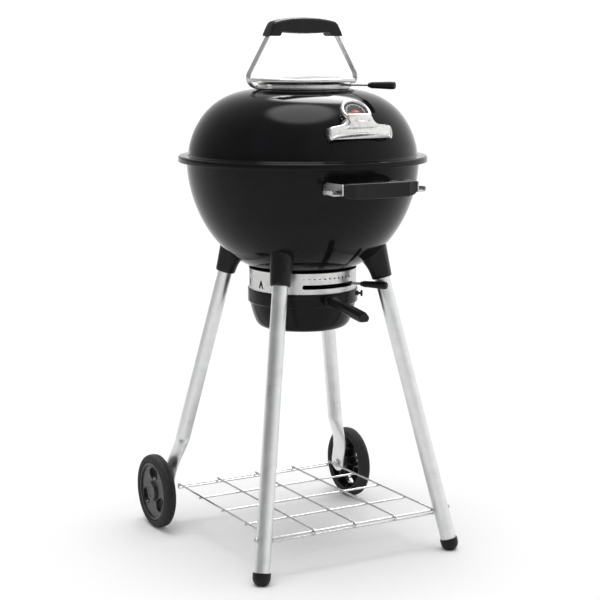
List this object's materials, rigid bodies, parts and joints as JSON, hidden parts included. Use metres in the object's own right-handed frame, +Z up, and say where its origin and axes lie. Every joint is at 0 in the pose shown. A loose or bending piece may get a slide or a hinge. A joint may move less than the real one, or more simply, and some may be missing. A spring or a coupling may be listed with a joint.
{
  "type": "kettle charcoal grill",
  "caption": "Round kettle charcoal grill on a four-legged stand with wheels, wire shelf, turning vents, ash pan and lid thermometer.",
  "frame": {"origin": "ground level, under the middle of the footprint box", "axes": "+Z up, front of the grill (handle and thermometer) towards -Y, wheels towards +Y"},
  "size_m": [0.5028, 0.5884, 1.066],
  "materials": {
    "black_enamel": "gloss porcelain enamel",
    "stainless": "satin",
    "leg_aluminium": "satin drawn tube",
    "black_nylon": "semi-gloss moulded",
    "hub_plastic": "satin moulded",
    "tyre_rubber": "matt, fine tread",
    "plated_wire": "bright plated",
    "cast_badge": "polished and brushed",
    "dial_face": "satin print",
    "needle_red": "satin",
    "clear_lens": "clear"
  },
  "bodies": {
    "kettle_and_stand": {"bowl": "black_enamel", "grate_support_1": "stainless", "grate_support_2": "stainless", "grate_support_3": "stainless", "bowl_handle_bracket": "stainless", "bowl_handle_grip": "black_nylon", "front_leg_left": "leg_aluminium", "front_foot_cap_left": "black_nylon", "leg_socket_front_left": "black_nylon", "rear_leg_left": "leg_aluminium", "leg_socket_rear_left": "black_nylon", "front_leg_right": "leg_aluminium", "front_foot_cap_right": "black_nylon", "leg_socket_front_right": "black_nylon", "rear_leg_right": "leg_aluminium", "leg_socket_rear_right": "black_nylon", "axle_bolt_left": "stainless", "axle_bolt_right": "stainless", "wire_shelf": "plated_wire", "ash_ring": "stainless", "shelf_bolt_left": "stainless", "shelf_bolt_right": "stainless"},
    "wheel_left": {"tyre_left": "tyre_rubber", "wheel_hub_left": "hub_plastic", "hub_cap_left": "hub_plastic"},
    "wheel_right": {"tyre_right": "tyre_rubber", "wheel_hub_right": "hub_plastic", "hub_cap_right": "hub_plastic"},
    "lid": {"lid_shell": "black_enamel", "vent_ring": "stainless", "vent_cap": "stainless", "vent_stud": "stainless", "lid_handle_strap": "stainless", "lid_handle_grip": "black_nylon", "thermometer_badge": "cast_badge", "thermometer_dial": "dial_face", "thermometer_lens": "clear_lens", "thermometer_probe": "stainless"},
    "vent": {"vent_damper": "stainless", "vent_lever_rod": "stainless", "vent_lever_grip": "black_nylon"},
    "needle": {"thermometer_needle": "needle_red"},
    "sweep": {"ash_sweep": "stainless", "sweep_lever_rod": "stainless", "sweep_lever_grip": "black_nylon"},
    "pan": {"ash_pan": "black_enamel", "pan_handle_bracket": "black_nylon", "pan_handle_grip": "black_nylon"},
    "thumbscrew": {"pan_thumbscrew": "black_nylon"},
    "cooking_grate": {"cooking_grate": "plated_wire"},
    "charcoal_grate": {"charcoal_grate": "plated_wire"}
  },
  "joints": [
    {"name": "wheel_left_spin", "type": "hinge", "parent": "kettle_and_stand", "child": "wheel_left", "pos_m": [-0.238, 0.2165, 0.0777], "axis": [1, 0, 0], "continuous": true},
    {"name": "wheel_right_spin", "type": "hinge", "parent": "kettle_and_stand", "child": "wheel_right", "pos_m": [0.238, 0.2165, 0.0777], "axis": [1, 0, 0], "continuous": true},
    {"name": "lid_lift", "type": "slide", "parent": "kettle_and_stand", "child": "lid", "axis": [0, 0, 1], "range_m": [0, 0.25]},
    {"name": "top_vent_turn", "type": "hinge", "parent": "lid", "child": "vent", "pos_m": [0, 0.0078, 0.932], "axis": [0, 0, 1], "range_deg": [0, 45]},
    {"name": "thermometer_needle_turn", "type": "hinge", "parent": "lid", "child": "needle", "pos_m": [0, -0.19587, 0.88814], "axis": [0, -0.6947, 0.7193], "range_deg": [-196, 0], "stiffness_Nm_per_rad": 0.001},
    {"name": "ash_sweep_turn", "type": "hinge", "parent": "kettle_and_stand", "child": "sweep", "pos_m": [0, 0.0078, 0.5414], "axis": [0, 0, 1], "range_deg": [-60, 0]},
    {"name": "ash_pan_drop", "type": "slide", "parent": "kettle_and_stand", "child": "pan", "axis": [0, 0, -1], "range_m": [0, 0.2]},
    {"name": "pan_thumbscrew_turn", "type": "hinge", "parent": "pan", "child": "thumbscrew", "pos_m": [0.0881, -0.06103, 0.516], "axis": [0.788, -0.6157, 0], "range_deg": [-270, 0]},
    {"name": "cooking_grate_lift", "type": "slide", "parent": "kettle_and_stand", "child": "cooking_grate", "axis": [0, 0, 1], "range_m": [0, 0.015]},
    {"name": "charcoal_grate_lift", "type": "slide", "parent": "kettle_and_stand", "child": "charcoal_grate", "axis": [0, 0, 1], "range_m": [0, 0.1]}
  ]
}
